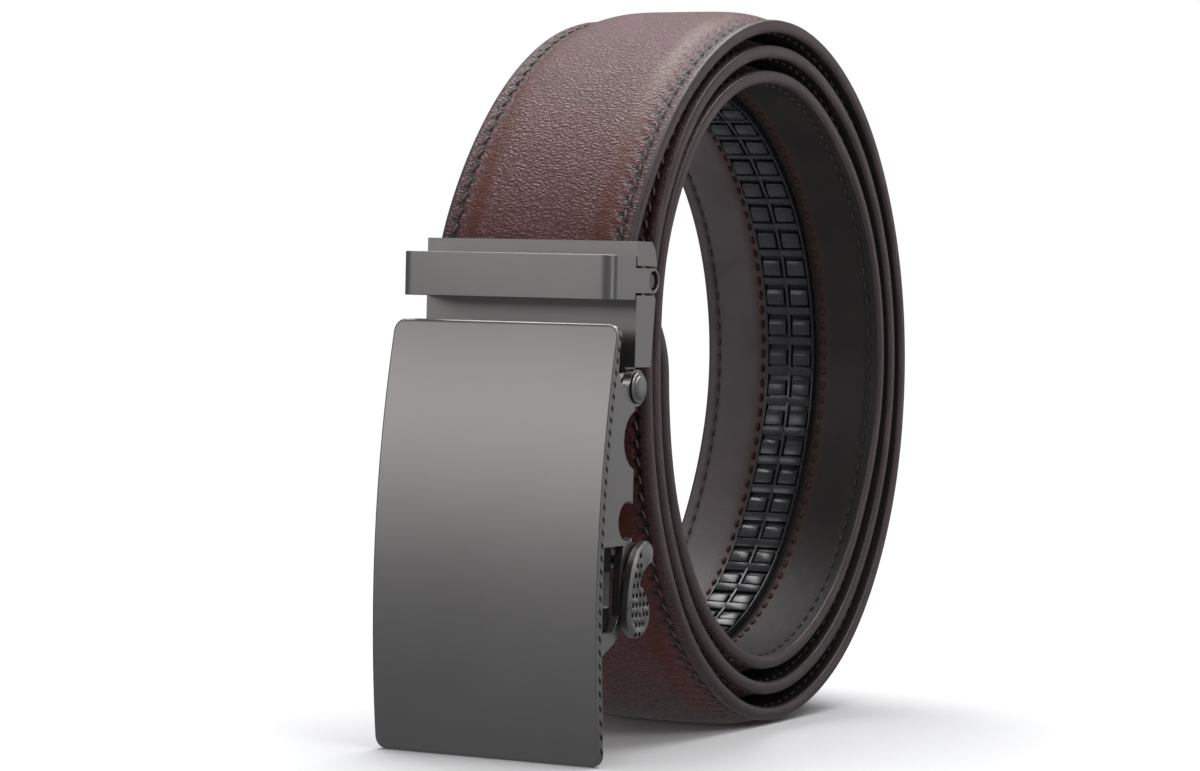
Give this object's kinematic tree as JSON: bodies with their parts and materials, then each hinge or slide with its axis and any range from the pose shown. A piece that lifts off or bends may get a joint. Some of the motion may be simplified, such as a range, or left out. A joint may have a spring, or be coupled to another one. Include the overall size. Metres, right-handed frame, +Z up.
{
  "type": "ratchet belt",
  "caption": "Rolled leather strap with stitched margins and a toothed inner track, on an automatic plate buckle with strap clamp, keeper loop and release lever.",
  "frame": {"origin": "bottom centre of the bounding box, on the surface that the rolled belt stands on", "axes": "+Z up, -Y towards the buckle's face, +X across the strap towards the release lever"},
  "size_m": [0.0418, 0.1322, 0.1237],
  "materials": {
    "outer_leather": "brown grained leather with a low sheen",
    "lining_leather": "dark brown smooth lining",
    "track_plastic": "black moulded plastic",
    "gunmetal": "satin gunmetal plating",
    "dark_gunmetal": "dark gunmetal plating"
  },
  "bodies": {
    "strap": {"strap_leather": "outer_leather", "strap_lining": "lining_leather", "ratchet_track": "track_plastic", "clamp_body": "gunmetal", "clamp_jaw": "dark_gunmetal", "clamp_pin": "dark_gunmetal", "keeper_loop": "gunmetal"},
    "buckle": {"face_plate": "gunmetal", "buckle_frame": "gunmetal", "hinge_rivet": "gunmetal", "lever_pin": "dark_gunmetal"},
    "lever": {"pawl": "dark_gunmetal", "lever_tab": "gunmetal"}
  },
  "joints": [
    {"name": "buckle_hinge", "type": "hinge", "parent": "strap", "child": "buckle", "pos_m": [-0.0004, -0.05173, 0.0595], "axis": [-1, 0, 0], "range_deg": [0, 28]},
    {"name": "lever_pivot", "type": "hinge", "parent": "buckle", "child": "lever", "pos_m": [-0.0004, -0.05188, 0.03199], "axis": [-1, 0, 0], "range_deg": [0, 15], "stiffness_Nm_per_rad": 0.05, "springref_deg": -11.46}
  ]
}
